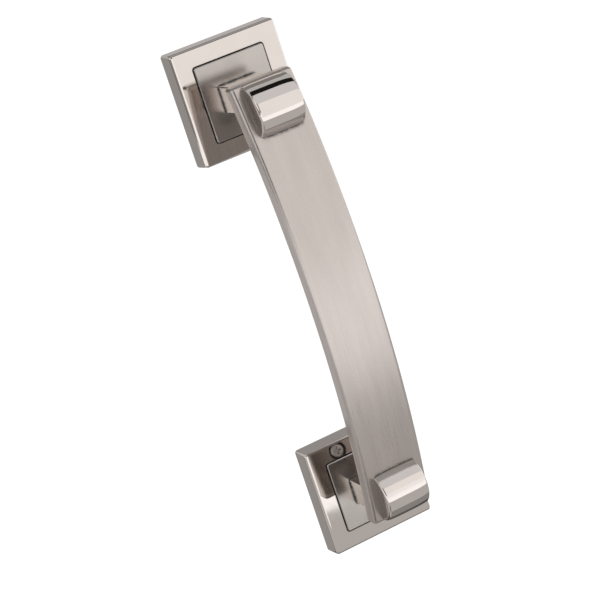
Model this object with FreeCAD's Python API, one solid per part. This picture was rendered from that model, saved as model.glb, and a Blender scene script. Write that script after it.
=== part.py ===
import FreeCAD, Part
import math
import os

# Pull handle for a door: a bowed flat bar on two square posts, each with a square rose and a
# half-round cap. Millimetres. The origin is on the door's face, midway between the two fixing
# centres. +X is to the right of someone facing the door, +Y goes into the door, +Z is up.
V = FreeCAD.Vector
ACROSS = V(1, 0, 0)
INTO_DOOR = V(0, 1, 0)
UP = V(0, 0, 1)

# Whole handle
fixing_centres = 200.0

# Grip bar, a strip bowed away from the door and ground square at its ends
bar_width = 31.0
bar_thickness = 8.2
bar_projection = 57.0       # door's face to the front of the bar at its middle
bar_face_radius = 380.0     # bow of the front face
bar_overhang = 8.0          # bar past each fixing centre
bar_edge_radius = 1.8

# Rose covers, drawn from sheet
rose_side = 54.6            # outside, at the door
rose_height = 10.6
rose_wall = 1.6
rose_border = 9.0           # outside of the rose to its opening
rose_draft = math.radians(2.0)
rose_edge_radius = 1.5      # corners and front edges
opening_lip = 0.25          # chamfer round the opening

# Base plates, cast, with a square boss that fills the rose's opening
boss_gap = 0.4              # boss to the edge of the rose's opening
boss_proud = 0.8            # boss in front of the rose
boss_corner_radius = 1.0
boss_edge_chamfer = 0.35
flange_thickness = 3.0
flange_gap = 0.35           # flange to the inside of the rose, at the door
cast_wall = 2.8
rib_thickness = 2.2
hub_side = 15.6
door_screw_edge = 4.85      # hole's centre to the edge of the flange
door_screw_hole = 4.4

# Posts
post_width = 19.2
post_height = 13.0
post_draft = math.radians(1.0)
post_edge_radius = 0.7
seat_depth = 1.0            # post sunk into the boss
seat_gap = 0.1

# Half-round caps
cap_width = 22.2
cap_radius = 12.6
cap_inward = 5.2            # the round's axis, from the fixing centre towards the handle's middle
cap_axis_depth = 2.1        # the round's axis behind the bar's face
cap_edge_chamfer = 0.7
spigot_length = 1.0
spigot_gap = 0.15

# Screws. Threads are plain at their outside diameter, and their holes are cut with a small clearance
thread_gap = 0.03
post_bolt_diameter = 6.0
post_bolt_head_diameter = 10.0
post_bolt_head_height = 4.0
post_bolt_key = 4.0         # across the flats of the hexagon socket
post_bolt_recess = 12.0     # diameter of the well behind the base plate
washer_diameter = 11.2
washer_thickness = 1.6
bar_screw_diameter = 5.0
bar_screw_head_diameter = 8.6
bar_screw_head_height = 2.8
bar_screw_recess = 9.2
cap_screw_diameter = 4.0
cap_screw_head_diameter = 7.6
cap_screw_head_height = 2.5
cap_screw_length = 9.0
cap_screw_recess = 9.2
cap_screw_clear = 0.5       # between the post and the recess of the cap's screw
screw_tips_apart = 4.8      # solid left in the post between the tips of its two screws
clearance_hole = 0.4        # added to a screw's diameter where it passes freely
hole_run_out = 1.0          # threaded holes are deeper than their screws by this
cross_arm = 0.9             # width of a cross recess
cross_share = 0.55          # span of a cross recess, as a share of the head's diameter

# Derived places
fixing_height = fixing_centres / 2
bow_centre = V(0, bar_face_radius - bar_projection, 0)
bar_back_radius = bar_face_radius - bar_thickness
bar_half_length = fixing_height + bar_overhang
boss_height = rose_height + boss_proud
seat_floor = boss_height - seat_depth
flange_side = rose_side - 2 * rose_wall - 2 * flange_gap
door_screw_pitch = flange_side - 2 * door_screw_edge
opening_side = rose_side - 2 * rose_border
boss_side = opening_side - 2 * boss_gap
cap_centre = fixing_height - cap_inward
cap_screw_height = fixing_height - post_height / 2 - cap_screw_clear - cap_screw_recess / 2
beyond = 40.0               # reach of a cutting tool that runs far past the work
run_past = 1.0              # reach of one that runs just past a face


def y_on_arc(radius, height):
    """Where the bow of this radius lies in front of the door, at a height above the middle."""
    return bow_centre.y - math.sqrt(radius ** 2 - height ** 2)


def box(x, y, z):
    """A box from three (low, high) pairs."""
    return Part.makeBox(x[1] - x[0], y[1] - y[0], z[1] - z[0], V(x[0], y[0], z[0]))


def cylinder(diameter, start, direction, length):
    return Part.makeCylinder(diameter / 2, length, start, direction)


def bow_cylinder(radius):
    """A cylinder across the handle, whose skin is one face of the bowed bar."""
    return Part.makeCylinder(radius, 2 * beyond, bow_centre - ACROSS * beyond, ACROSS)


def square_block(width, height, y_back, y_front, draft=0.0):
    """A block centred on the fixing that narrows towards the front by its draft."""
    inset = (y_back - y_front) * math.tan(draft)
    x, z = width / 2, height / 2
    low, high = fixing_height - z, fixing_height + z
    return Part.makeWedge(
        inset - x, y_front, low + inset, low, -x, x - inset, y_back, high - inset, high, x
    )


def corner_edges(block):
    """The four edges that run from front to back."""
    return [edge for edge in block.Edges if len({round(v.Y, 3) for v in edge.Vertexes}) == 2]


def edges_in_plane(shape, y):
    """The edges that lie wholly in the plane at y."""
    found = []
    for edge in shape.Edges:
        if edge.Degenerated:
            continue
        if all(abs(point.y - y) < 0.01 for point in edge.discretize(5)):
            found.append(edge)
    return found


def square_to_bar(shape, height):
    """Turns a shape made at the bar's middle along the bow, to this height on the bar's back."""
    angle = math.degrees(math.asin(height / bar_back_radius))
    turned = shape.copy()
    turned.rotate(bow_centre, ACROSS, -angle)
    return turned


def cross_recess(head_diameter, depth, top, direction):
    """The cross that a driver fits, cut down from the top of a head that faces along direction."""
    arm = head_diameter * cross_share / 2
    start = min(top, top - depth * direction)
    deep = (start, start + depth)
    half = cross_arm / 2
    return box((-arm, arm), deep, (-half, half)).fuse(box((-half, half), deep, (-arm, arm)))


def make_grip_bar():
    face = bow_cylinder(bar_face_radius)
    strip = face.cut(bow_cylinder(bar_back_radius))
    half = bar_width / 2
    ends = (-bar_half_length, bar_half_length)
    bar = strip.common(box((-half, half), (-bar_projection - run_past, 0), ends))
    bar = bar.makeFillet(bar_edge_radius, bar.Edges)
    for side in (1, -1):
        bar = bar.cut(bar_screw_hole(side))
        bar = bar.cut(cap_screw_hole(side))
    return bar


def bar_screw_floor():
    """Depth of the flat floor under the head of the screw that holds the bar to its post."""
    lowest = y_on_arc(bar_face_radius, fixing_height + bar_screw_recess / 2)
    return lowest + spigot_length + spigot_gap + bar_screw_head_height


def bar_screw_hole(side):
    start = V(0, -bar_projection - run_past, side * fixing_height)
    depth = bar_screw_floor() - start.y
    well = cylinder(bar_screw_recess, start, INTO_DOOR, depth)
    hole = cylinder(bar_screw_diameter + clearance_hole, start, INTO_DOOR, beyond)
    return well.fuse(hole)


def cap_screw_hole(side):
    back = bow_centre.y - bar_back_radius
    well = cylinder(cap_screw_recess, V(0, back - cap_screw_head_height, 0), INTO_DOOR, beyond)
    hole = cylinder(cap_screw_diameter + clearance_hole, V(0, back - beyond, 0), INTO_DOOR, beyond)
    return square_to_bar(well.fuse(hole), side * cap_screw_height)


def make_rose_cover():
    """A shallow square box, open at the door, with a square opening in its front."""
    outer = square_block(rose_side, rose_side, 0, -rose_height, rose_draft)
    outer = outer.makeFillet(rose_edge_radius, corner_edges(outer) + edges_in_plane(outer, -rose_height))
    inside = rose_side - 2 * rose_wall
    cavity = square_block(inside, inside, 0, rose_wall - rose_height, rose_draft)
    window = square_block(opening_side, opening_side, 0, -rose_height - run_past)
    window = window.makeFillet(boss_corner_radius + boss_gap, corner_edges(window))
    cover = outer.cut(cavity).cut(window)
    rim = []
    for edge in edges_in_plane(cover, -rose_height):
        bounds = edge.BoundBox
        reach = max(abs(bounds.Center.x), abs(bounds.Center.z - fixing_height))
        if reach < (opening_side + inside) / 4:
            rim.append(edge)
    return cover.makeChamfer(opening_lip, rim)


def make_base_plate():
    """A flange with a square boss, cored from behind, with a hub on four ribs for the post's bolt."""
    flange = square_block(flange_side, flange_side, 0, -flange_thickness)
    flange = flange.makeFillet(rose_edge_radius, corner_edges(flange))
    boss = square_block(boss_side, boss_side, 0, -boss_height)
    boss = boss.makeFillet(boss_corner_radius, corner_edges(boss))
    boss = boss.makeChamfer(boss_edge_chamfer, edges_in_plane(boss, -boss_height))
    plate = flange.fuse(boss)

    cored = boss_side - 2 * cast_wall
    ceiling = cast_wall - seat_floor
    depth = (ceiling, run_past)
    core = square_block(cored, cored, run_past, ceiling)
    half_rib = rib_thickness / 2
    across = box((-cored, cored), depth, (fixing_height - half_rib, fixing_height + half_rib))
    upright = box((-half_rib, half_rib), depth, (fixing_height - cored, fixing_height + cored))
    hub = square_block(hub_side, hub_side, run_past, ceiling)
    plate = plate.cut(core.cut(across).cut(upright).cut(hub))

    seat = post_block(seat_gap)
    plate = plate.cut(seat)
    bolt_axis = V(0, -beyond, fixing_height)
    plate = plate.cut(cylinder(post_bolt_diameter + clearance_hole, bolt_axis, INTO_DOOR, 2 * beyond))
    well = V(0, well_floor(), fixing_height)
    plate = plate.cut(cylinder(post_bolt_recess, well, INTO_DOOR, beyond))

    half_pitch = door_screw_pitch / 2
    for x in (-half_pitch, half_pitch):
        for z in (fixing_height - half_pitch, fixing_height + half_pitch):
            front = V(x, -flange_thickness, z)
            plate = plate.cut(cylinder(door_screw_hole, front, INTO_DOOR, flange_thickness))
    return plate.removeSplitter()


def well_floor():
    """The bolt's well leaves one cast wall between its washer and the post."""
    return cast_wall - seat_floor


def post_block(grow):
    """The post's tapered block, longer than the post, grown all round by a clearance."""
    width = post_width + 2 * grow
    height = post_height + 2 * grow
    block = square_block(width, height, -seat_floor, -bar_projection, post_draft)
    return block.makeFillet(post_edge_radius + grow, corner_edges(block))


def make_post():
    """A tapered block from its seat in the base plate to the hollow of the bar's back."""
    post = post_block(0).common(bow_cylinder(bar_back_radius))
    bolt = cylinder(
        post_bolt_diameter + 2 * thread_gap,
        V(0, -seat_floor, fixing_height),
        -INTO_DOOR,
        reach_into_post() + hole_run_out,
    )
    tip = bar_screw_floor() + reach_into_post() + hole_run_out
    screw = cylinder(
        bar_screw_diameter + 2 * thread_gap, V(0, tip, fixing_height), -INTO_DOOR, beyond
    )
    return post.cut(bolt).cut(screw)


def reach_into_post():
    """How far each of the post's two screws reaches, from the seat and from the floor in the bar."""
    return (-bar_screw_floor() - seat_floor - screw_tips_apart) / 2


def make_cap():
    """A half-round block across the bar, hollowed to its bow, with a spigot for the bar screw's well."""
    axis_y = y_on_arc(bar_face_radius, cap_centre) + cap_axis_depth
    half = cap_width / 2
    cap = Part.makeCylinder(cap_radius, cap_width, V(-half, axis_y, cap_centre), ACROSS)
    cap = cap.cut(bow_cylinder(bar_face_radius))
    outer = [edge for edge in cap.Edges if not lies_on_bar_face(edge)]
    cap = cap.makeChamfer(cap_edge_chamfer, outer)

    floor = y_on_arc(bar_face_radius, fixing_height + bar_screw_recess / 2) + spigot_length
    spigot_diameter = bar_screw_recess - 2 * spigot_gap
    inside_cap = y_on_arc(bar_face_radius, fixing_height) - run_past
    spigot = cylinder(spigot_diameter, V(0, inside_cap, fixing_height), INTO_DOOR, floor - inside_cap)
    cap = cap.fuse(spigot).removeSplitter()

    tip = cap_screw_tip() - hole_run_out
    hole = cylinder(cap_screw_diameter + 2 * thread_gap, V(0, tip, 0), INTO_DOOR, beyond)
    return cap.cut(square_to_bar(hole, cap_screw_height))


def lies_on_bar_face(edge):
    for point in edge.discretize(3):
        if abs(math.hypot(point.y - bow_centre.y, point.z) - bar_face_radius) > 0.01:
            return False
    return True


def cap_screw_tip():
    """The y of the screw's tip, at the bar's middle, before the screw is turned along the bow."""
    back = bow_centre.y - bar_back_radius
    return back - cap_screw_head_height - cap_screw_length


def make_post_bolt():
    """A socket-head bolt from behind, through a washer and the base plate into the post."""
    under_head = well_floor() + washer_thickness
    length = washer_thickness + cast_wall + reach_into_post()
    centre = V(0, under_head, fixing_height)
    head = cylinder(post_bolt_head_diameter, centre, INTO_DOOR, post_bolt_head_height)
    shank = cylinder(post_bolt_diameter, centre, -INTO_DOOR, length)
    key = hexagon_prism(post_bolt_key, under_head + post_bolt_head_height / 2, post_bolt_head_height)
    return head.fuse(shank).removeSplitter().cut(key)


def hexagon_prism(across_flats, y, length):
    radius = across_flats / math.sqrt(3)
    corners = []
    for corner in range(7):
        angle = math.pi / 3 * corner
        corners.append(V(radius * math.cos(angle), y, fixing_height + radius * math.sin(angle)))
    return Part.Face(Part.makePolygon(corners)).extrude(INTO_DOOR * length)


def make_washer():
    start = V(0, well_floor(), fixing_height)
    disc = cylinder(washer_diameter, start, INTO_DOOR, washer_thickness)
    return disc.cut(cylinder(post_bolt_diameter + clearance_hole, start, INTO_DOOR, washer_thickness))


def make_bar_screw():
    """A low-head screw from the front of the bar into the post, hidden by the cap."""
    floor = bar_screw_floor()
    top = floor - bar_screw_head_height
    head = cylinder(bar_screw_head_diameter, V(0, top, 0), INTO_DOOR, bar_screw_head_height)
    shank = cylinder(bar_screw_diameter, V(0, floor, 0), INTO_DOOR, reach_into_post())
    recess = cross_recess(bar_screw_head_diameter, bar_screw_head_height / 2, top, -1)
    screw = head.fuse(shank).removeSplitter().cut(recess)
    screw.translate(UP * fixing_height)
    return screw


def make_cap_screw():
    """A pan-head screw from the back of the bar into the cap."""
    back = bow_centre.y - bar_back_radius
    under_head = back - cap_screw_head_height
    head = cylinder(cap_screw_head_diameter, V(0, under_head, 0), INTO_DOOR, cap_screw_head_height)
    head = head.makeChamfer(cap_screw_head_height / 3, edges_in_plane(head, back))
    shank = cylinder(cap_screw_diameter, V(0, cap_screw_tip(), 0), INTO_DOOR, cap_screw_length)
    recess = cross_recess(cap_screw_head_diameter, cap_screw_head_height * 2 / 3, back, 1)
    screw = head.fuse(shank).removeSplitter().cut(recess)
    return square_to_bar(screw, cap_screw_height)


def save(node, shape):
    shape.exportStep(os.path.join("parts", node + ".step"))
    validity = "valid" if shape.isValid() else "NOT VALID"
    print(node, validity, len(shape.Solids), round(shape.Volume, 1))


def at_lower_end(upper):
    """The same piece at the handle's other end."""
    lower = upper.copy()
    lower.rotate(V(0, 0, 0), INTO_DOOR, 180)
    return lower


def main():
    os.makedirs("parts", exist_ok=True)
    save("grip_bar", make_grip_bar())
    for piece, make in [
        ("rose_cover", make_rose_cover),
        ("base_plate", make_base_plate),
        ("post", make_post),
        ("cap", make_cap),
    ]:
        upper = make()
        save("upper_" + piece, upper)
        save("lower_" + piece, at_lower_end(upper))
    for fastener, make in [
        ("post_bolts", make_post_bolt),
        ("washers", make_washer),
        ("bar_screws", make_bar_screw),
        ("cap_screws", make_cap_screw),
    ]:
        upper = make()
        save(fastener, Part.makeCompound([upper, at_lower_end(upper)]))


main()
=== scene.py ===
import math

import bmesh
import bpy
from bpy.props import FloatProperty, FloatVectorProperty, IntProperty, PointerProperty
from mathutils import Euler, Matrix, Vector


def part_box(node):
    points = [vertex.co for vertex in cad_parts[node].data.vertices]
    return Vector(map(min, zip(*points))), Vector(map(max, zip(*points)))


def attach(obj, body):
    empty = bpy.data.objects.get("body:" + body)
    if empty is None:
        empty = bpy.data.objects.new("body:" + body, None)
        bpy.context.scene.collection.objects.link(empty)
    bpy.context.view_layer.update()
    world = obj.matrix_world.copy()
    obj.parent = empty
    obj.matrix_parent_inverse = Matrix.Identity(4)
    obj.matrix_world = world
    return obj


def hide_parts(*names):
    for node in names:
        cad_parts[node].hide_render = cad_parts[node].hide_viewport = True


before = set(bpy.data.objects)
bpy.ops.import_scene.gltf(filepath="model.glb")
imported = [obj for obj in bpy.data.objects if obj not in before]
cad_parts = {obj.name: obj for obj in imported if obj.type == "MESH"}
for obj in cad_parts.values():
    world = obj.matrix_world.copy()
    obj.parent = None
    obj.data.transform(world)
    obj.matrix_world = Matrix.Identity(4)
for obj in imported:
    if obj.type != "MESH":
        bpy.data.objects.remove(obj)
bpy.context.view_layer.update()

bl_info = {
    "name": "Door Pull Handle",
    "version": (1, 0, 0),
    "blender": (4, 5, 0),
    "location": "View3D > Sidebar > Handle",
    "description": "Finishes a bowed pull handle on square roses and sets it in a small studio",
    "category": "Object",
}

SATIN_NODES = ("grip_bar",)
ROSE_NODES = ("upper_rose_cover", "lower_rose_cover")
PLATE_NODES = ("upper_base_plate", "lower_base_plate")
POST_NODES = ("upper_post", "lower_post")
FASTENER_NODES = ("post_bolts", "washers", "bar_screws", "cap_screws")

# Where the solids have a cap and its post, which the caps' sizes start from
CAP_LOW, CAP_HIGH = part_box("upper_cap")
POST_LOW, POST_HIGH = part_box("upper_post")

# Space between nodes in the editor
NODE_SPACING = 190
# Sheen of the matt dark layer in which painted shade is laid over the metal
PAINTED_SHADE_SHEEN = 0.1
# Depths of the fine relief, in metres
BRUSHED_RELIEF = 0.0000035
POLISHED_RELIEF = 0.00008
CAST_RELIEF = 0.00012
STEEL_RELIEF = 0.00001

# Steps round a cap's rounded edge, and from its middle to that edge
EDGE_STEPS = 8
HALF_STEPS = 12
# Steps round a cap for each one across its hollow
STEPS_TO_HOLLOW = 3
# The cap's crown falls with this power of the distance from its middle
CROWN_POWER = 4
# Least rise of a rounded edge over its rim, so that its slope stays finite there
LEAST_RISE = 1e-7
# Steps round the spigot and the screw's hole, and how far they reach past the hollow
TOOL_STEPS = 48
TOOL_OVERLAP = 0.001
# How near to a cap's flat side, its hollow and its round a face counts as part of them
SIDE_NEARNESS = 1e-6
HOLLOW_NEARNESS = 2e-5
ROUND_NEARNESS = 1e-4
# How squarely a face of the hollow looks at the bow's centre
HOLLOW_FACING = 0.9

# Half the floor's side, its colour, and the light of its own that the camera sees
FLOOR_HALF = 6.0
FLOOR_COLOUR = (0.6, 0.6, 0.6)
FLOOR_GLOW = 0.45
WHITE = (1.0, 1.0, 1.0)
# Side of the square lamp, and where it hangs
LAMP_SIZE = 1.2
LAMP_PLACE = (0.5, -0.9, 1.5)
# Height of the cards on the table over the floor, and over one another
CARD_GAP = 0.001
# Distances behind the door's face at which the cards on the wall stand
CARD_WALL = 0.002
BEFORE_WALL = 0.0015
# Width of the camera's sensor in millimetres, and the distances it sees
SENSOR_WIDTH = 36.0
CAMERA_REACH = (0.01, 50.0)
# The one face of a floor or card
QUAD = [(0, 1, 2, 3)]


class HandleFinishes(bpy.types.PropertyGroup):
    """Colours and textures of the metals."""

    satin_colour: FloatVectorProperty(
        name="Satin nickel",
        description="Colour of the brushed bar",
        subtype="COLOR",
        size=3,
        default=(0.66, 0.600, 0.565),
        min=0.0,
        max=1.0,
    )
    satin_roughness: FloatProperty(
        name="Satin roughness",
        description="Mean roughness of the brushed bar",
        subtype="FACTOR",
        default=0.30,
        min=0.0,
        max=1.0,
    )
    streak_width: FloatProperty(
        name="Streak width",
        description="Width of the widest brush streaks on the bar",
        unit="LENGTH",
        default=0.0009,
        min=0.0001,
        max=0.01,
    )
    streak_length: FloatProperty(
        name="Streak length",
        description="Length of the brush streaks on the bar",
        unit="LENGTH",
        default=0.030,
        min=0.001,
        max=0.2,
    )
    cloud_width: FloatProperty(
        name="Cloud width",
        description="Width of the soft lighter and darker bands that brushing by hand leaves",
        unit="LENGTH",
        default=0.007,
        min=0.001,
        max=0.05,
    )
    bow_radius: FloatProperty(
        name="Bow radius",
        description="Radius of the bar's front face, which the brush streaks follow",
        unit="LENGTH",
        default=0.380,
        min=0.05,
        max=5.0,
    )
    bow_depth: FloatProperty(
        name="Bow depth",
        description="Distance from the door to the bow's centre",
        unit="LENGTH",
        default=0.323,
        min=0.0,
        max=5.0,
    )
    polished_colour: FloatVectorProperty(
        name="Polished nickel",
        description="Colour of the mirror-polished pieces",
        subtype="COLOR",
        size=3,
        default=(0.86, 0.795, 0.75),
        min=0.0,
        max=1.0,
    )
    polished_roughness: FloatProperty(
        name="Polished roughness",
        description="Mean roughness of the mirror-polished pieces",
        subtype="FACTOR",
        default=0.035,
        min=0.0,
        max=1.0,
    )
    cast_colour: FloatVectorProperty(
        name="Plated casting",
        description="Colour of the base plates, which are plated over a less polished casting",
        subtype="COLOR",
        size=3,
        default=(0.63, 0.585, 0.55),
        min=0.0,
        max=1.0,
    )
    cast_roughness: FloatProperty(
        name="Casting roughness",
        description="Mean roughness of the base plates",
        subtype="FACTOR",
        default=0.15,
        min=0.0,
        max=1.0,
    )
    smudge_size: FloatProperty(
        name="Smudge size",
        description="Size of the soft marks that handling leaves on the polish",
        unit="LENGTH",
        default=0.012,
        min=0.001,
        max=0.1,
    )
    # Painted shade: the near-black colour painted into narrow corners, gaps and the caps' feet,
    # where shade falls
    painted_shade_colour: FloatVectorProperty(
        name="Tarnish",
        description="Colour of the nickel in the corners that a cloth doesn't reach",
        subtype="COLOR",
        size=3,
        default=(0.040, 0.034, 0.030),
        min=0.0,
        max=1.0,
    )
    steel_colour: FloatVectorProperty(
        name="Plated steel",
        description="Colour of the screws, bolts and washers",
        subtype="COLOR",
        size=3,
        default=(0.60, 0.60, 0.61),
        min=0.0,
        max=1.0,
    )
    edge_width: FloatProperty(
        name="Edge width",
        description="Width of the worn line along sharp edges",
        unit="LENGTH",
        default=0.0005,
        min=0.0001,
        max=0.005,
    )


class HandleCaps(bpy.types.PropertyGroup):
    """Sizes of the half-round caps. The solids have no crown, and chamfers for the rounding."""

    width: FloatProperty(
        name="Width",
        description="Width of a cap across the bar",
        unit="LENGTH",
        default=CAP_HIGH.x - CAP_LOW.x,
        min=0.005,
        max=0.1,
    )
    radius: FloatProperty(
        name="Radius",
        description="Radius of the half round at its middle",
        unit="LENGTH",
        default=0.0126,
        min=0.002,
        max=0.05,
    )
    crown: FloatProperty(
        name="Crown",
        description="How much lower the half round is at its sides than at its middle",
        unit="LENGTH",
        default=0.0005,
        min=0.0,
        max=0.002,
    )
    rounding: FloatProperty(
        name="Rounding",
        description="Radius of the polished edge between the round and the flat sides",
        unit="LENGTH",
        default=0.0009,
        min=0.0001,
        max=0.005,
    )
    axis_height: FloatProperty(
        name="Axis height",
        description="Height of the round's axis above the handle's middle",
        unit="LENGTH",
        default=0.0948,
    )
    axis_depth: FloatProperty(
        name="Axis depth",
        description="Distance of the round's axis behind the bar's face",
        unit="LENGTH",
        default=0.0021,
    )
    spigot_radius: FloatProperty(
        name="Spigot radius",
        description="Radius of the spigot that fills the mouth of the bar screw's well",
        unit="LENGTH",
        default=0.00445,
    )
    spigot_height: FloatProperty(
        name="Spigot height",
        description="Height of the spigot's axis above the handle's middle",
        unit="LENGTH",
        default=(POST_LOW.z + POST_HIGH.z) / 2,
    )
    spigot_end: FloatProperty(
        name="Spigot end",
        description="Distance from the door to the spigot's flat end",
        unit="LENGTH",
        default=-CAP_HIGH.y,
    )
    screw_turn: FloatProperty(
        name="Screw turn",
        description="Angle along the bow at which the cap's screw stands",
        subtype="ANGLE",
        default=math.radians(13.754),
    )
    screw_radius: FloatProperty(
        name="Screw hole radius",
        description="Radius of the threaded hole for the cap's screw",
        unit="LENGTH",
        default=0.00203,
    )
    screw_reach: FloatProperty(
        name="Screw hole depth",
        description="Depth of the threaded hole from the bar's face",
        unit="LENGTH",
        default=0.0043,
    )
    steps: IntProperty(
        name="Steps",
        description="Steps of the mesh round each cap",
        default=72,
        min=12,
        max=256,
    )


class HandleStudio(bpy.types.PropertyGroup):
    """Camera, floor and light."""

    camera_place: FloatVectorProperty(
        name="Camera",
        description="Place of the camera",
        subtype="TRANSLATION",
        size=3,
        default=(-0.30542, -0.82111, 0.23144),
    )
    camera_turn: FloatVectorProperty(
        name="Camera turn",
        description="Rotation of the camera about X, Y and Z",
        subtype="EULER",
        size=3,
        default=(math.radians(74.141), math.radians(17.7357), math.radians(-25.3442)),
    )
    lens: FloatProperty(
        name="Lens",
        description="Focal length in millimetres on a 36 mm sensor",
        unit="CAMERA",
        default=114.284,
        min=10.0,
        max=500.0,
    )
    floor_drop: FloatProperty(
        name="Floor",
        description="Distance from the handle's middle down to the floor",
        unit="LENGTH",
        default=0.344,
        min=0.13,
        max=2.0,
    )
    room_light: FloatProperty(
        name="Room light",
        description="Strength of the white room as the metal sees it",
        subtype="FACTOR",
        default=0.97,
        min=0.0,
        max=2.0,
    )
    key_power: FloatProperty(
        name="Key light",
        description="Power of the large soft lamp above",
        unit="POWER",
        default=6.0,
        min=0.0,
        max=200.0,
    )


class NodeSheet:
    """Short calls for a node tree that is filled from left to right."""

    def __init__(self, tree):
        self.tree = tree
        self.column = 0

    def add(self, kind, label="", **settings):
        """A new node to the right of the last one."""
        node = self.tree.nodes.new(kind)
        node.label = label
        node.location = (self.column * NODE_SPACING, 0)
        self.column += 1
        for name, value in settings.items():
            setattr(node, name, value)
        return node

    def join(self, source, target):
        self.tree.links.new(source, target)

    def put(self, value, socket):
        """Joins an output to an input, or sets a plain value or colour on it."""
        if isinstance(value, bpy.types.NodeSocket):
            self.join(value, socket)
        elif socket.type == "RGBA":
            socket.default_value = (*value, 1.0)
        else:
            socket.default_value = value

    def feed(self, node, inputs):
        """Puts a value on each named input of a node, and gives the node's outputs."""
        for name, value in inputs.items():
            self.put(value, node.inputs[name])
        return node.outputs

    def math(self, operation, *inputs, clamp=False):
        node = self.add("ShaderNodeMath", operation.lower(), operation=operation, use_clamp=clamp)
        for socket, value in zip(node.inputs, inputs):
            self.put(value, socket)
        return node.outputs[0]

    def map_range(self, value, low, high, new_low=0.0, new_high=1.0):
        """The value with low made new_low and high new_high, and held at those beyond them."""
        node = self.add("ShaderNodeMapRange")
        for socket, number in zip(node.inputs, (value, low, high, new_low, new_high)):
            self.put(number, socket)
        return node.outputs[0]

    def blend(self, first, share, second):
        """The first value by its share and the second by the rest."""
        part = self.math("MULTIPLY", first, share)
        rest = self.math("MULTIPLY", second, 1.0 - share)
        return self.math("ADD", part, rest)

    def place(self):
        """The shaded point in the handle's own frame."""
        return self.add("ShaderNodeTexCoord").outputs["Object"]

    def vector(self, x, y, z):
        return self.feed(self.add("ShaderNodeCombineXYZ"), {"X": x, "Y": y, "Z": z})["Vector"]

    def noise(self, label, place, scale, detail):
        node = self.add("ShaderNodeTexNoise", label)
        return self.feed(node, {"Vector": place, "Scale": scale, "Detail": detail})["Fac"]


def new_group(fill, inputs):
    """A shader group with these plain values as inputs; fill gives its outputs by name."""
    group = bpy.data.node_groups.new(fill.__name__, "ShaderNodeTree")
    sheet = NodeSheet(group)
    for label, default in inputs.items():
        socket = group.interface.new_socket(
            name=label, in_out="INPUT", socket_type="NodeSocketFloat"
        )
        socket.default_value = default
    found = fill(sheet, sheet.add("NodeGroupInput").outputs)
    for label in found:
        group.interface.new_socket(name=label, in_out="OUTPUT", socket_type="NodeSocketFloat")
    sheet.feed(sheet.add("NodeGroupOutput"), found)
    return group


def effect(sheet, fill, **values):
    """The outputs of a shader group with these values on its inputs. The first call makes it."""
    group = bpy.data.node_groups.get(fill.__name__)
    if group is None:
        group = new_group(fill, values)
    return sheet.feed(sheet.add("ShaderNodeGroup", group.name, node_tree=group), values)


# Cosine of the turn between a softened and the true surface at which wear starts, and is full
WEAR_TURN = (0.995, 0.90)
# Patches along a worn edge, to the metre, and the part of the noise that they are spread over
PATCH_SCALE = 260.0
PATCH_SPREAD = (0.35, 0.65)


def edge_wear(sheet, given):
    """Mask of the narrow line along edges where a finish is rubbed."""
    softened = sheet.feed(sheet.add("ShaderNodeBevel", samples=6), {"Radius": given["Width"]})
    geometry = sheet.add("ShaderNodeNewGeometry")
    turn = sheet.add("ShaderNodeVectorMath", "turn of the edge", operation="DOT_PRODUCT")
    sheet.join(softened["Normal"], turn.inputs[0])
    sheet.join(geometry.outputs["Normal"], turn.inputs[1])
    line = sheet.map_range(turn.outputs["Value"], *WEAR_TURN)
    patches = sheet.noise("patches", sheet.place(), PATCH_SCALE, detail=3.0)
    rubbed = sheet.map_range(patches, *PATCH_SPREAD)
    share = sheet.math("SUBTRACT", 1.0, sheet.math("MULTIPLY", rubbed, given["Patchiness"]))
    return {"Mask": sheet.math("MULTIPLY", line, share, clamp=True)}


# Angles at which hairlines lie, and how much of each is a turn about X, Y and Z
HAIRLINE_LAYS = (0.35, -1.1)
LAY_TURNS = (0.5, 1.0, 0.3)
# The part of the noise that shows as hairlines
HAIRLINE_SPREAD = (0.62, 0.78)


def fine_scratches(sheet, given):
    """Hairline marks in two crossing directions, as a polishing cloth leaves them."""
    place = sheet.place()
    across = sheet.math("DIVIDE", 1.0, given["Spacing"])
    along = sheet.math("DIVIDE", 1.0, given["Length"])
    found = []
    for lay in HAIRLINE_LAYS:
        rotate = sheet.add("ShaderNodeVectorRotate", "lay", rotation_type="EULER_XYZ")
        turns = tuple(lay * share for share in LAY_TURNS)
        laid = sheet.feed(rotate, {"Vector": place, "Rotation": turns})
        stretch = sheet.add("ShaderNodeVectorMath", "stretch", operation="MULTIPLY")
        sheet.join(laid["Vector"], stretch.inputs[0])
        sheet.join(sheet.vector(across, across, along), stretch.inputs[1])
        marks = sheet.noise("marks", stretch.outputs["Vector"], scale=1.0, detail=2.0)
        found.append(sheet.map_range(marks, *HAIRLINE_SPREAD))
    mask = sheet.math("MAXIMUM", *found)
    return {"Mask": mask, "Height": sheet.math("SUBTRACT", 1.0, mask)}


# How open a corner is where its painted shade is full, and where it ends
CORNER_OPENNESS = (0.52, 0.90)
# Unevenness of the painted shade to the metre, the part of the noise it takes, and the least kept
# by it
CORNER_SCALE = 520.0
CORNER_SPREAD = (0.32, 0.60)
CORNER_LEAST = 0.45


def crevice_painted_shade(sheet, given):
    """Mask of painted shade in narrow corners and gaps, darkest where other metal is nearest."""
    near = sheet.add("ShaderNodeAmbientOcclusion", "nearness of other metal", samples=8)
    openness = sheet.feed(near, {"Distance": given["Reach"]})["AO"]
    corner = sheet.map_range(openness, *CORNER_OPENNESS, 1.0, 0.0)
    uneven = sheet.noise("uneven edge", sheet.place(), CORNER_SCALE, detail=2.0)
    kept = sheet.map_range(uneven, *CORNER_SPREAD, CORNER_LEAST)
    share = sheet.math("MULTIPLY", kept, given["Amount"])
    return {"Mask": sheet.math("MULTIPLY", corner, share, clamp=True)}


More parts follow.
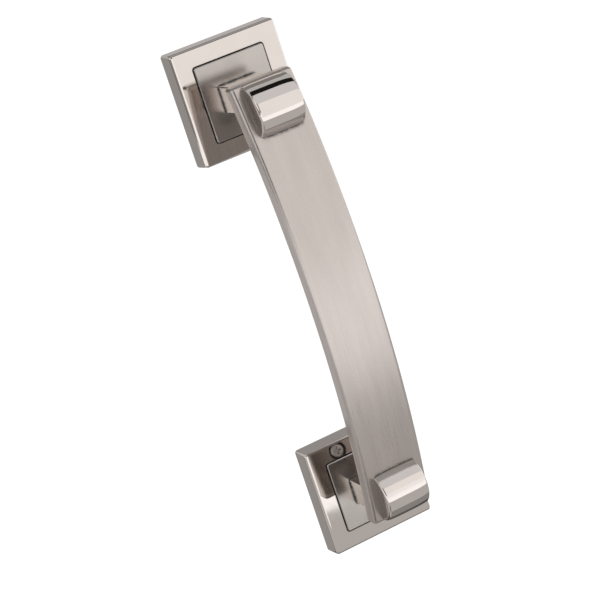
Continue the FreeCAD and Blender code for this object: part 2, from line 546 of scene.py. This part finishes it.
# The part of the noise that shows as smudges
SMUDGE_SPREAD = (0.42, 0.70)
# Depth of a hairline, as a share of the long waves' height
HAIRLINE_DEPTH = 0.002


def hand_polish(sheet, given):
    """Smudges, hairlines and the long waves of a hand-polished surface."""
    place = sheet.place()
    smudge_scale = sheet.math("DIVIDE", 1.0, given["Smudge"])
    smudges = sheet.noise("smudges", place, smudge_scale, detail=4.0)
    scratches = effect(sheet, fine_scratches, Spacing=0.0005, Length=0.010)
    wave_scale = sheet.math("DIVIDE", 1.0, given["Wave"])
    waves = sheet.noise("polishing waves", place, wave_scale, detail=1.0)
    return {
        "Dull": sheet.map_range(smudges, *SMUDGE_SPREAD),
        "Marks": scratches["Mask"],
        "Height": sheet.math("MULTIPLY_ADD", scratches["Height"], HAIRLINE_DEPTH, waves),
    }


def bow_place(sheet, given):
    """Height over the bar's bowed face, and place along and across it, for a point."""
    point = sheet.feed(sheet.add("ShaderNodeSeparateXYZ"), {"Vector": sheet.place()})
    depth = sheet.math("SUBTRACT", given["Depth"], point["Y"])
    squares = [sheet.math("MULTIPLY", side, side) for side in (depth, point["Z"])]
    radius = sheet.math("SQRT", sheet.math("ADD", *squares))
    angle = sheet.math("ARCTAN2", point["Z"], depth)
    return {
        "Height": sheet.math("SUBTRACT", radius, given["Radius"]),
        "Along": sheet.math("MULTIPLY", angle, given["Radius"]),
        "Across": point["X"],
    }


def over_bow(sheet, finishes):
    """The place of a point on the bar's own bow."""
    return effect(sheet, bow_place, Radius=finishes.bow_radius, Depth=finishes.bow_depth)


def new_material(name):
    """A material without nodes, and a sheet to fill it."""
    material = bpy.data.materials.new(name)
    material.use_nodes = True
    material.node_tree.nodes.clear()
    return material, NodeSheet(material.node_tree)


def new_object(name, data):
    """An object that stands in the scene at once."""
    made = bpy.data.objects.new(name, data)
    bpy.context.scene.collection.objects.link(made)
    return made


def finish_metal(sheet, colour, roughness, height, relief, painted_shade=None):
    """The metal's shader; relief is the depth of the height, and the last argument a mask of
    painted shade, laid on as a matt dark layer.
    """
    bump = sheet.add("ShaderNodeBump", "relief")
    sheet.feed(bump, {"Strength": 1.0, "Distance": relief, "Height": height})
    metal = sheet.add("ShaderNodeBsdfPrincipled", "metal")
    # Where the painted shade lies, the metal gives way to a dark matt layer
    inputs = {
        "Base Color": colour,
        "Metallic": 1.0 if painted_shade is None else sheet.math("SUBTRACT", 1.0, painted_shade),
        "Roughness": roughness,
        "Specular IOR Level": PAINTED_SHADE_SHEEN,
        "Normal": bump.outputs["Normal"],
    }
    shown = sheet.feed(metal, inputs)["BSDF"]
    sheet.feed(sheet.add("ShaderNodeOutputMaterial"), {"Surface": shown})


def mixed(sheet, mask, colour, other):
    """Goes from one colour to another as the mask goes from 0 to 1."""
    mix = sheet.add("ShaderNodeMix", "mixed colours", data_type="RGBA")
    return sheet.feed(mix, {"Factor": mask, "A": colour, "B": other})["Result"]


def scaled(colour, factor):
    """A colour made lighter or darker."""
    return tuple(min(1.0, part * factor) for part in colour)


def shaded(sheet, mask, colour, shades):
    """A colour that goes from one shade of it to another as the mask goes from 0 to 1."""
    return mixed(sheet, mask, *(scaled(colour, shade) for shade in shades))


def roughened(sheet, roughness, *marks):
    """A roughness to which each mask adds its share."""
    for mask, share in marks:
        roughness = sheet.math("MULTIPLY_ADD", mask, share, roughness)
    return roughness


# The fine streaks are this many times narrower and shorter than the wide ones
FINE_NARROWER = 6
FINE_SHORTER = 3
# A cloud's length in widths
CLOUD_LENGTH = 7
# Share of the wide streaks beside the fine ones, and of all streaks beside the clouds
WIDE_SHARE = 0.6
STREAK_SHARE = 0.45
# The part of the noise that the shades of the brushing are spread over, and those shades
SHADE_SPREAD = (0.38, 0.62)
SATIN_SHADES = (0.955, 1.045)
# The part of the streaks' noise that the roughness is spread over, and how far it goes each way
ROUGH_SPREAD = (0.35, 0.65)
ROUGH_SWING = 0.05
# How much smoother a worn edge is
WORN_SMOOTHER = 0.10
# Two places along the bow, how much painted shade the bar's back has at each, and how dark it
# makes the colour
BACK_ENDS = (-0.070, 0.050)
BACK_SHADE_SHARES = (0.75, 0.12)
BACK_SHADE = 0.5
# Heights from the bar's face between which the painted shade of its back fades out
BACK_FADE = (-0.0080, -0.0066)
# Distances from the bar's middle between which the painted shade under a cap thins out, and what
# is left
CAP_SIDE = (0.0100, 0.0112)
BESIDE_CAP = 0.15


def satin_nickel(sheet, finishes):
    """Brushed nickel with streaks along the bow, painted shade on its back, and painted shade in
    the corners under the caps.
    """
    bow = over_bow(sheet, finishes)

    def streaks(width, length, detail):
        across = sheet.math("DIVIDE", bow["Across"], width)
        up = sheet.math("DIVIDE", bow["Height"], width)
        along = sheet.math("DIVIDE", bow["Along"], length)
        place = sheet.vector(across, up, along)
        return sheet.noise("streaks", place, scale=1.0, detail=detail)

    width = finishes.streak_width
    length = finishes.streak_length
    wide = streaks(width, length, detail=3.0)
    fine = streaks(width / FINE_NARROWER, length / FINE_SHORTER, detail=2.0)
    both = sheet.blend(wide, WIDE_SHARE, fine)
    cloud = finishes.cloud_width
    clouds = streaks(cloud, cloud * CLOUD_LENGTH, detail=2.0)
    shade = sheet.map_range(sheet.blend(both, STREAK_SHARE, clouds), *SHADE_SPREAD)
    wear = effect(sheet, edge_wear, Width=finishes.edge_width, Patchiness=0.35)["Mask"]
    brightness = sheet.math("MAXIMUM", shade, wear)
    brushed = shaded(sheet, brightness, finishes.satin_colour, SATIN_SHADES)

    # Painted shade on the bar's back, the side that faces the door, darker towards its lower end
    back_shade_share = sheet.map_range(bow["Along"], *BACK_ENDS, *BACK_SHADE_SHARES)
    back = sheet.map_range(bow["Height"], *BACK_FADE, back_shade_share, 0.0)
    brushed = mixed(sheet, back, brushed, scaled(finishes.satin_colour, BACK_SHADE))

    # Painted shade in the corners where caps, screws and posts meet the bar, kept mostly within
    # the caps' width
    corners = effect(sheet, crevice_painted_shade, Reach=0.0026, Amount=1.6)["Mask"]
    off_middle = sheet.math("ABSOLUTE", bow["Across"])
    kept = sheet.map_range(off_middle, *CAP_SIDE, 1.0, BESIDE_CAP)
    painted_shade = sheet.math("MULTIPLY", corners, kept)
    colour = mixed(sheet, painted_shade, brushed, finishes.painted_shade_colour)

    mean = finishes.satin_roughness
    rough = sheet.map_range(both, *ROUGH_SPREAD, mean - ROUGH_SWING, mean + ROUGH_SWING)
    rubbed = sheet.math("MULTIPLY", wear, WORN_SMOOTHER)
    roughness = sheet.math("SUBTRACT", rough, rubbed, clamp=True)
    finish_metal(sheet, colour, roughness, both, BRUSHED_RELIEF, painted_shade)


# What smudges, hairlines, worn edges and the painted shade add to the roughness of the polish
SMUDGE_ROUGHNESS = 0.03
HAIRLINE_ROUGHNESS = 0.04
WEAR_ROUGHNESS = 0.08
PAINTED_SHADE_ROUGHNESS = 0.15
# How far a smudge takes the polish from its clean shade to the other
SMUDGE_STRENGTH = 0.6
SMUDGE_SHADES = (1.0, 0.96)


def mirror_finish(sheet, finishes, painted_shade):
    """Mirror-polished nickel with faint smudges, hairlines, a slightly wavy surface and the
    painted shade it is given.
    """
    polish = effect(sheet, hand_polish, Smudge=finishes.smudge_size, Wave=0.026)
    wear = effect(sheet, edge_wear, Width=finishes.edge_width, Patchiness=0.6)["Mask"]
    roughness = roughened(
        sheet,
        finishes.polished_roughness,
        (polish["Dull"], SMUDGE_ROUGHNESS),
        (polish["Marks"], HAIRLINE_ROUGHNESS),
        (wear, WEAR_ROUGHNESS),
        (painted_shade, PAINTED_SHADE_ROUGHNESS),
    )
    smudged = sheet.math("MULTIPLY", polish["Dull"], SMUDGE_STRENGTH)
    clean = shaded(sheet, smudged, finishes.polished_colour, SMUDGE_SHADES)
    # The painted shade darkens the polish towards the near-black painted-shade colour
    colour = mixed(sheet, painted_shade, clean, finishes.painted_shade_colour)
    finish_metal(sheet, colour, roughness, polish["Height"], POLISHED_RELIEF, painted_shade)


def polished_nickel(sheet, finishes):
    """The polish of roses and posts, with painted shade in narrow corners and gaps."""
    painted_shade = effect(sheet, crevice_painted_shade, Reach=0.0015, Amount=1.5)["Mask"]
    mirror_finish(sheet, finishes, painted_shade)


# Unevenness of the painted shade at a cap's feet, to the metre, and the part of the noise it takes
FOOT_SCALE = 350.0
FOOT_SPREAD = (0.30, 0.70)
# The painted contact-shadow line at a foot: its strength, and the heights over the bar where it
# fades and ends
LINE_STRENGTH = 0.92
LINE_FADE = 0.0003
LINE_TOPS = (0.0012, 0.0018)
# The painted dark band on the feet that face the bar's middle, for the shaded bar they mirror: its
# strength, the heights over the bar where it fades and ends, and how uneven that end is
PAINTED_BAND_STRENGTH = 0.62
PAINTED_BAND_FADE = 0.0032
PAINTED_BAND_TOP = 0.0036
PAINTED_BAND_UNEVEN = 0.0012
# Distances along the bow from its middle between which the painted band thins out, under a cap's
# top
PAINTED_BAND_SIDE = (0.090, 0.094)
# How squarely a surface has to face along the bar for the painted shade to start, and to be full
FOOT_FACING = (0.25, 0.75)


def cap_polish(sheet, finishes):
    """The caps' polish, with painted shade at their feet, and most at those that face the bar's
    middle.
    """
    bow = over_bow(sheet, finishes)
    where = sheet.add("ShaderNodeTexCoord")
    uneven = sheet.noise("uneven edge", where.outputs["Object"], FOOT_SCALE, detail=2.0)
    # A painted contact-shadow line along each foot, with an uneven top
    top = sheet.map_range(uneven, *FOOT_SPREAD, *LINE_TOPS)
    line = sheet.map_range(bow["Height"], LINE_FADE, top, LINE_STRENGTH, 0.0)
    # A wider painted dark band, standing in for the shaded bar face that the feet towards the
    # middle mirror
    painted_band_top = sheet.math("MULTIPLY_ADD", uneven, PAINTED_BAND_UNEVEN, PAINTED_BAND_TOP)
    painted_band = sheet.map_range(bow["Height"], PAINTED_BAND_FADE, painted_band_top, PAINTED_BAND_STRENGTH, 0.0)
    off_middle = sheet.math("ABSOLUTE", bow["Along"])
    inner = sheet.map_range(off_middle, *PAINTED_BAND_SIDE, 1.0, 0.0)
    painted_foot_shade = sheet.math("MAXIMUM", line, sheet.math("MULTIPLY", painted_band, inner))
    facing = sheet.add("ShaderNodeSeparateXYZ", "facing along the bar")
    sheet.join(where.outputs["Normal"], facing.inputs["Vector"])
    turned = sheet.math("ABSOLUTE", facing.outputs["Z"])
    foot = sheet.map_range(turned, *FOOT_FACING)
    mirror_finish(sheet, finishes, sheet.math("MULTIPLY", painted_foot_shade, foot))


# Grain of the casting to the metre, and what it adds to roughness and to height
GRAIN_SCALE = 1400.0
GRAIN_ROUGHNESS = 0.04
GRAIN_HEIGHT = 0.01
# What smudges add to the casting's roughness, how strong they are, and their shade
CAST_SMUDGE_ROUGHNESS = 0.06
CAST_SMUDGE_STRENGTH = 0.8
CAST_SHADES = (1.0, 0.90)
# How much larger they are than on the mirror polish
CAST_SMUDGES_LARGER = 1.5


def plated_casting(sheet, finishes):
    """Nickel plated over a casting that was only roughly polished, so that it mirrors softly."""
    grain = sheet.noise("grain of the casting", sheet.place(), GRAIN_SCALE, detail=2.0)
    smudge = finishes.smudge_size * CAST_SMUDGES_LARGER
    polish = effect(sheet, hand_polish, Smudge=smudge, Wave=0.020)
    # Painted shade in the plates' narrow corners and gaps
    painted_shade = effect(sheet, crevice_painted_shade, Reach=0.0018, Amount=1.5)["Mask"]
    roughness = roughened(
        sheet,
        finishes.cast_roughness,
        (polish["Dull"], CAST_SMUDGE_ROUGHNESS),
        (grain, GRAIN_ROUGHNESS),
    )
    smudged = sheet.math("MULTIPLY", polish["Dull"], CAST_SMUDGE_STRENGTH)
    clean = shaded(sheet, smudged, finishes.cast_colour, CAST_SHADES)
    colour = mixed(sheet, painted_shade, clean, finishes.painted_shade_colour)
    height = sheet.math("MULTIPLY_ADD", grain, GRAIN_HEIGHT, polish["Height"])
    finish_metal(sheet, colour, roughness, height, CAST_RELIEF, painted_shade)


# Mottle of the plating to the metre, the part of the noise it takes, and its shades and roughness
MOTTLE_SCALE = 900.0
MOTTLE_SPREAD = (0.35, 0.65)
STEEL_SHADES = (0.85, 1.1)
STEEL_ROUGHNESS = (0.24, 0.36)
TURNED_ROUGHNESS = 0.08


def plated_steel(sheet, finishes):
    """Zinc-plated steel with the faint mottle of the plating and fine marks."""
    mottle = sheet.noise("mottle", sheet.place(), MOTTLE_SCALE, detail=3.0)
    cloud = sheet.map_range(mottle, *MOTTLE_SPREAD)
    scratches = effect(sheet, fine_scratches, Spacing=0.0002, Length=0.002)["Mask"]
    wear = effect(sheet, edge_wear, Width=finishes.edge_width / 2, Patchiness=0.3)["Mask"]
    brightness = sheet.math("MAXIMUM", cloud, wear)
    colour = shaded(sheet, brightness, finishes.steel_colour, STEEL_SHADES)
    base = sheet.map_range(cloud, 0.0, 1.0, *STEEL_ROUGHNESS)
    roughness = roughened(sheet, base, (scratches, TURNED_ROUGHNESS))
    finish_metal(sheet, colour, roughness, mottle, STEEL_RELIEF)


def finish(make):
    """The material that a function fills, which is made once."""
    name = make.__name__ + "_finish"
    material = bpy.data.materials.get(name)
    if material is None:
        material, sheet = new_material(name)
        make(sheet, bpy.context.scene.handle_finishes)
    return material


def dress(node_names, make):
    """Gives CAD nodes their material."""
    material = finish(make)
    for name in node_names:
        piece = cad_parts[name]
        if not piece.material_slots:
            piece.data.materials.append(material)
        for slot in piece.material_slots:
            slot.material = material


def cap_section(caps, x):
    """Radius of the half round at a place across the bar, and how steeply it falls there."""
    half = caps.width / 2
    past = max(0.0, abs(x) - (half - caps.rounding))
    rise = math.sqrt(max(0.0, caps.rounding ** 2 - past ** 2))
    radius = caps.radius - caps.crown * (x / half) ** CROWN_POWER - (caps.rounding - rise)
    slope = CROWN_POWER * caps.crown * abs(x) ** (CROWN_POWER - 1) / half ** CROWN_POWER
    return radius, slope + past / max(rise, LEAST_RISE)


def cap_stations(caps):
    """Places across the bar where a cap has its rings, close together on its rounded edges."""
    shoulder = caps.width / 2 - caps.rounding
    turns = [math.radians(90 * step / EDGE_STEPS) for step in range(EDGE_STEPS + 1)]
    right = [shoulder + caps.rounding * math.sin(turn) for turn in turns]
    middle = [shoulder * step / HALF_STEPS for step in range(1 - HALF_STEPS, HALF_STEPS)]
    return [-x for x in reversed(right)] + middle + right


def on_bow(finishes, height):
    """The y of the bar's face at a height above the handle's middle."""
    return finishes.bow_depth - math.sqrt(finishes.bow_radius ** 2 - height ** 2)


def cap_axis(caps, finishes):
    """The y and z of the half round's axis."""
    return on_bow(finishes, caps.axis_height) + caps.axis_depth, caps.axis_height


def cap_feet(caps, finishes, radius):
    """Angles about the round's axis, from straight forward, where a ring meets the bar's face."""
    axis_y, axis_z = cap_axis(caps, finishes)
    apart = math.hypot(axis_y - finishes.bow_depth, axis_z)
    unit_y = (axis_y - finishes.bow_depth) / apart
    unit_z = axis_z / apart
    along = (finishes.bow_radius ** 2 - radius ** 2 + apart ** 2) / (2 * apart)
    aside = math.sqrt(finishes.bow_radius ** 2 - along ** 2)
    feet = []
    for side in (1, -1):
        y = finishes.bow_depth + along * unit_y - side * aside * unit_z
        z = along * unit_z + side * aside * unit_y
        feet.append(math.atan2(z - axis_z, axis_y - y))
    return feet


def cap_body(caps, finishes):
    """A cap as a closed mesh: its rings, its flat sides and the hollow that fits the bow."""
    sheet = bmesh.new()
    axis_y, axis_z = cap_axis(caps, finishes)
    hollow_steps = caps.steps // STEPS_TO_HOLLOW
    rings = []
    unders = []
    for x in cap_stations(caps):
        radius = cap_section(caps, x)[0]
        inner, outer = cap_feet(caps, finishes, radius)
        ring = []
        for step in range(caps.steps + 1):
            angle = inner + (outer - inner) * step / caps.steps
            place = (x, axis_y - radius * math.cos(angle), axis_z + radius * math.sin(angle))
            ring.append(sheet.verts.new(place))
        low, high = ring[0].co.z, ring[-1].co.z
        under = [ring[0]]
        for step in range(1, hollow_steps):
            z = low + (high - low) * step / hollow_steps
            under.append(sheet.verts.new((x, on_bow(finishes, z), z)))
        under.append(ring[-1])
        rings.append(ring)
        unders.append(under)
    for line in (rings, unders):
        for left, right in zip(line, line[1:]):
            for a, b, c, d in zip(left, right, right[1:], left[1:]):
                sheet.faces.new((a, b, c, d))
    for end in (0, -1):
        sheet.faces.new(rings[end] + unders[end][-2:0:-1])
    bmesh.ops.recalc_face_normals(sheet, faces=sheet.faces)
    mesh = bpy.data.meshes.new("cap_body")
    sheet.to_mesh(mesh)
    sheet.free()
    return mesh


def round_tool(name, radius, start, end):
    """A round bar between two points, for a Boolean."""
    run = Vector(end) - Vector(start)
    sheet = bmesh.new()
    bmesh.ops.create_cone(
        sheet,
        cap_ends=True,
        segments=TOOL_STEPS,
        radius1=radius,
        radius2=radius,
        depth=run.length,
    )
    middle = Matrix.Translation((Vector(start) + Vector(end)) / 2)
    turn = run.to_track_quat("Z", "X").to_matrix().to_4x4()
    bmesh.ops.transform(sheet, matrix=middle @ turn, verts=sheet.verts)
    mesh = bpy.data.meshes.new(name)
    sheet.to_mesh(mesh)
    sheet.free()
    return new_object(name, mesh)


def joined_mesh(body, tools):
    """The body's mesh after the tools have been added or cut away. The tools are then removed."""
    for operation, tool in tools:
        modifier = body.modifiers.new(tool.name, "BOOLEAN")
        modifier.operation = operation
        modifier.solver = "EXACT"
        modifier.object = tool
    bpy.context.view_layer.update()
    found = body.evaluated_get(bpy.context.evaluated_depsgraph_get())
    mesh = bpy.data.meshes.new_from_object(found)
    body.modifiers.clear()
    for _, tool in tools:
        bpy.data.objects.remove(tool)
    return mesh


def cap_normal(caps, finishes, face, corner):
    """The true surface's direction at a corner of a face, so that reflections run smoothly."""
    axis_y, axis_z = cap_axis(caps, finishes)
    middle = face.center
    if abs(abs(middle.x) - caps.width / 2) < SIDE_NEARNESS:
        return Vector((math.copysign(1.0, middle.x), 0.0, 0.0))
    inward = Vector((0.0, finishes.bow_depth - middle.y, -middle.z))
    near_hollow = abs(inward.length - finishes.bow_radius) < HOLLOW_NEARNESS
    if near_hollow and face.normal.dot(inward.normalized()) > HOLLOW_FACING:
        return Vector((0.0, finishes.bow_depth - corner.y, -corner.z)).normalized()
    ring = math.hypot(middle.y - axis_y, middle.z - axis_z)
    off_round = abs(ring - cap_section(caps, middle.x)[0]) > ROUND_NEARNESS
    if off_round or inward.length < finishes.bow_radius:
        return face.normal.copy()
    fall = cap_section(caps, corner.x)[1]
    outward = Vector((0.0, corner.y - axis_y, corner.z - axis_z)).normalized()
    return (outward + Vector((math.copysign(fall, corner.x), 0.0, 0.0))).normalized()


def half_round_cap(name, node, turn):
    """A polished half-round cap with its spigot and threaded hole, in place of a solid."""
    caps = bpy.context.scene.handle_caps
    finishes = bpy.context.scene.handle_finishes
    piece = new_object(name, cap_body(caps, finishes))
    inside = on_bow(finishes, caps.spigot_height) - TOOL_OVERLAP
    spigot = round_tool(
        "spigot",
        caps.spigot_radius,
        (0.0, inside, caps.spigot_height),
        (0.0, -caps.spigot_end, caps.spigot_height),
    )
    lean = Vector((0.0, -math.cos(caps.screw_turn), math.sin(caps.screw_turn)))
    bow_centre = Vector((0.0, finishes.bow_depth, 0.0))
    hole = round_tool(
        "screw_hole",
        caps.screw_radius,
        bow_centre + lean * (finishes.bow_radius - TOOL_OVERLAP),
        bow_centre + lean * (finishes.bow_radius + caps.screw_reach),
    )
    piece.data = joined_mesh(piece, [("UNION", spigot), ("DIFFERENCE", hole)])
    mesh = piece.data
    mesh.name = name
    normals = []
    for face in mesh.polygons:
        for corner in face.vertices:
            normals.append(turn @ cap_normal(caps, finishes, face, mesh.vertices[corner].co))
    mesh.transform(turn.to_4x4())
    mesh.shade_smooth()
    mesh.normals_split_custom_set(normals)
    mesh.materials.clear()
    mesh.materials.append(finish(cap_polish))
    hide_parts(node)
    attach(piece, "root")


class HANDLE_OT_grip_bar(bpy.types.Operator):
    """Brush the bar in satin nickel"""

    bl_idname = "handle.grip_bar"
    bl_label = "Grip Bar"

    def execute(self, context):
        dress(SATIN_NODES, satin_nickel)
        return {"FINISHED"}


class HANDLE_OT_roses(bpy.types.Operator):
    """Polish the square rose covers"""

    bl_idname = "handle.roses"
    bl_label = "Rose Covers"

    def execute(self, context):
        dress(ROSE_NODES, polished_nickel)
        return {"FINISHED"}


class HANDLE_OT_base_plates(bpy.types.Operator):
    """Plate the base plates and their bosses"""

    bl_idname = "handle.base_plates"
    bl_label = "Base Plates"

    def execute(self, context):
        dress(PLATE_NODES, plated_casting)
        return {"FINISHED"}


class HANDLE_OT_posts(bpy.types.Operator):
    """Polish the posts"""

    bl_idname = "handle.posts"
    bl_label = "Posts"

    def execute(self, context):
        dress(POST_NODES, polished_nickel)
        return {"FINISHED"}


class HANDLE_OT_caps(bpy.types.Operator):
    """Build the half-round caps with their polished edges"""

    bl_idname = "handle.caps"
    bl_label = "Half-round Caps"

    def execute(self, context):
        half_round_cap("upper_half_round", "upper_cap", Matrix.Identity(3))
        half_round_cap("lower_half_round", "lower_cap", Matrix.Rotation(math.pi, 3, "Y"))
        return {"FINISHED"}


class HANDLE_OT_fasteners(bpy.types.Operator):
    """Plate the screws, bolts and washers"""

    bl_idname = "handle.fasteners"
    bl_label = "Fasteners"

    def execute(self, context):
        dress(FASTENER_NODES, plated_steel)
        return {"FINISHED"}


def seen_white(sheet):
    """1 for the rays that see a white background: the camera's and those off metal or glass."""
    rays = sheet.add("ShaderNodeLightPath").outputs
    seen = sheet.math("MAXIMUM", rays["Is Camera Ray"], rays["Is Glossy Ray"])
    return sheet.math("MAXIMUM", seen, rays["Is Transmission Ray"])


def pale_floor(studio):
    """A plain pale floor that reads as white around the handle and keeps its shadow."""
    mesh = bpy.data.meshes.new("floor")
    corners = ramp((-FLOOR_HALF, FLOOR_HALF), (-FLOOR_HALF, 0), (FLOOR_HALF, 0))
    mesh.from_pydata(corners, [], QUAD)
    floor = new_object("floor", mesh)
    floor.location.z = -studio.floor_drop
    material, sheet = new_material("floor")
    plaster = sheet.add("ShaderNodeBsdfDiffuse", "pale floor")
    sheet.feed(plaster, {"Color": FLOOR_COLOUR})
    glow = sheet.add("ShaderNodeEmission", "white background")
    sheet.feed(glow, {"Strength": sheet.math("MULTIPLY", seen_white(sheet), FLOOR_GLOW)})
    both = sheet.add("ShaderNodeAddShader")
    sheet.join(plaster.outputs["BSDF"], both.inputs[0])
    sheet.join(glow.outputs["Emission"], both.inputs[1])
    sheet.feed(sheet.add("ShaderNodeOutputMaterial"), {"Surface": both.outputs["Shader"]})
    mesh.materials.append(material)


def white_room(studio):
    """The world: white for the camera, and nearly as bright for the metal."""
    world = bpy.data.worlds.new("white_room")
    bpy.context.scene.world = world
    world.use_nodes = True
    world.node_tree.nodes.clear()
    sheet = NodeSheet(world.node_tree)
    seen = sheet.add("ShaderNodeLightPath").outputs["Is Camera Ray"]
    strength = sheet.map_range(seen, 0.0, 1.0, studio.room_light, 1.0)
    light = sheet.add("ShaderNodeBackground", "white")
    shown = sheet.feed(light, {"Color": WHITE, "Strength": strength})["Background"]
    sheet.feed(sheet.add("ShaderNodeOutputWorld"), {"Surface": shown})


def soft_lamp(studio):
    """A large square lamp above the handle, which the metal doesn't mirror."""
    data = bpy.data.lights.new("key_lamp", "AREA")
    data.shape = "SQUARE"
    data.size = LAMP_SIZE
    data.energy = studio.key_power
    lamp = new_object("key_lamp", data)
    lamp.location = LAMP_PLACE
    lamp.rotation_mode = "QUATERNION"
    lamp.rotation_quaternion = (-lamp.location).to_track_quat("-Z", "Y")
    lamp.visible_glossy = False


def ramp(across, near, far):
    """Corners of a rectangle between two edges along X, each of which has its own y and z."""
    left, right = across
    return [(left, *near), (right, *near), (right, *far), (left, *far)]


def studio_cards(table):
    """Name, corners and colour of each card; the table is the height of the lowest one."""
    above = table + CARD_GAP
    # Edges of the cards on the wall, at the handle's foot and head and just past its head
    foot = (CARD_WALL, -0.13)
    head = (CARD_WALL, 0.1275)
    past_head = (CARD_WALL, 0.131)
    # Edges of the wide cards overhead, from the front to the back
    wide = (-4, 4)
    front = (-1.5, 1.1)
    ridge = (-0.5, 2.0)
    behind_ridge = (0.35, 2.05)
    back = (2.0, 1.0)
    return (
        ("table_card", ramp((-2, 2), (-0.584, table), (2, table)), (0.47, 0.46, 0.455)),
        (
            "near_table_flag",
            ramp((-0.25, -0.02), (-0.35, above), (-0.12, above)),
            (0.16, 0.155, 0.15),
        ),
        ("under_card", ramp((-0.02, 0.3), (-0.13, above), (0.05, above)), (0.26, 0.255, 0.25)),
        ("under_flag", ramp((-0.3, 0.3), (0.05, above), (0.20, above)), (0.04, 0.04, 0.04)),
        ("low_wall_card", ramp((-0.038, 0.046), foot, head), (0.31, 0.305, 0.30)),
        ("foot_flag", ramp((-0.046, 0.046), (CARD_WALL, -0.24), foot), (0.10, 0.098, 0.095)),
        ("high_wall_card", ramp((-0.05, 0.05), head, past_head), (0.47, 0.46, 0.455)),
        ("head_flag", ramp((-0.05, 0.05), past_head, (CARD_WALL, 0.19)), (0.22, 0.215, 0.21)),
        ("wall_edge_flag", ramp((-0.046, -0.038), foot, (CARD_WALL, 0.13)), (0.05, 0.048, 0.045)),
        (
            "middle_wall_card",
            ramp((-0.10, -0.028), (BEFORE_WALL, -0.0727), (BEFORE_WALL, 0.068)),
            (0.56, 0.555, 0.555),
        ),
        (
            "left_side_card",
            [(-0.5, -0.42, 0.0), (-0.5, 0.42, 0.0), (-0.5, 0.42, 0.125), (-0.5, -0.42, 0.125)],
            (0.24, 0.235, 0.23),
        ),
        (
            "front_card",
            [(-0.01, -0.36, -0.03), (2, -0.36, -0.03), (4, -1.5, 1.1), (-0.05, -1.5, 1.1)],
            (0.90, 0.885, 0.87),
        ),
        ("upper_front_card", ramp(wide, front, ridge), (0.66, 0.66, 0.67)),
        ("overhead_flag", ramp((-0.10, 0.25), (-0.073, 0.19), (-0.036, 0.19)), (0.01, 0.01, 0.01)),
        ("overhead_card", ramp(wide, ridge, behind_ridge), (0.40, 0.40, 0.40)),
        ("upper_back_card", ramp(wide, behind_ridge, back), (0.50, 0.50, 0.50)),
        ("back_card", ramp(wide, back, (2.0, table)), (0.34, 0.345, 0.35)),
        ("left_flag", ramp((-1.2, -0.06), (-1.3, 0.05), (-1.3, 1.1)), (0.08, 0.075, 0.07)),
    )


def studio_card(name, corners, colour):
    """A flat card that only the metal's reflections show."""
    mesh = bpy.data.meshes.new(name)
    mesh.from_pydata(corners, [], QUAD)
    card = new_object(name, mesh)
    material, sheet = new_material(name)
    glow = sheet.feed(sheet.add("ShaderNodeEmission", "plain colour"), {"Color": colour})
    sheet.feed(sheet.add("ShaderNodeOutputMaterial"), {"Surface": glow["Emission"]})
    mesh.materials.append(material)
    card.visible_camera = False
    card.visible_diffuse = False
    card.visible_shadow = False
    card.visible_transmission = False


def place_camera(studio):
    """The camera of the photographed view."""
    data = bpy.data.cameras.new("camera")
    data.sensor_width = SENSOR_WIDTH
    data.lens = studio.lens
    data.clip_start, data.clip_end = CAMERA_REACH
    camera = new_object("camera", data)
    camera.location = studio.camera_place
    camera.rotation_euler = Euler(studio.camera_turn, "XYZ")
    bpy.context.scene.camera = camera


class HANDLE_OT_studio(bpy.types.Operator):
    """Set up the floor, the white room, the lamp, the cards and the camera"""

    bl_idname = "handle.studio"
    bl_label = "Studio"

    def execute(self, context):
        studio = context.scene.handle_studio
        pale_floor(studio)
        white_room(studio)
        soft_lamp(studio)
        for name, corners, colour in studio_cards(CARD_GAP - studio.floor_drop):
            studio_card(name, corners, colour)
        place_camera(studio)
        context.scene.view_settings.view_transform = "Standard"
        return {"FINISHED"}


STEPS = (
    HANDLE_OT_grip_bar,
    HANDLE_OT_roses,
    HANDLE_OT_base_plates,
    HANDLE_OT_posts,
    HANDLE_OT_caps,
    HANDLE_OT_fasteners,
    HANDLE_OT_studio,
)


class HANDLE_PT_panel(bpy.types.Panel):
    """Finishes, studio and steps of the pull handle"""

    bl_label = "Pull Handle"
    bl_idname = "HANDLE_PT_panel"
    bl_space_type = "VIEW_3D"
    bl_region_type = "UI"
    bl_category = "Handle"

    def draw(self, context):
        scene = context.scene
        for group in (scene.handle_finishes, scene.handle_caps, scene.handle_studio):
            column = self.layout.column()
            for name in group.__annotations__:
                column.prop(group, name)
        for step in STEPS:
            self.layout.operator(step.bl_idname)


CLASSES = (HandleFinishes, HandleCaps, HandleStudio, *STEPS, HANDLE_PT_panel)


def register():
    for cls in CLASSES:
        bpy.utils.register_class(cls)
    bpy.types.Scene.handle_finishes = PointerProperty(type=HandleFinishes)
    bpy.types.Scene.handle_caps = PointerProperty(type=HandleCaps)
    bpy.types.Scene.handle_studio = PointerProperty(type=HandleStudio)


def unregister():
    del bpy.types.Scene.handle_studio
    del bpy.types.Scene.handle_caps
    del bpy.types.Scene.handle_finishes
    for cls in reversed(CLASSES):
        bpy.utils.unregister_class(cls)


def main():
    register()
    bpy.ops.handle.grip_bar()
    bpy.ops.handle.roses()
    bpy.ops.handle.base_plates()
    bpy.ops.handle.posts()
    bpy.ops.handle.caps()
    bpy.ops.handle.fasteners()
    bpy.ops.handle.studio()


if __name__ == "__main__":
    main()
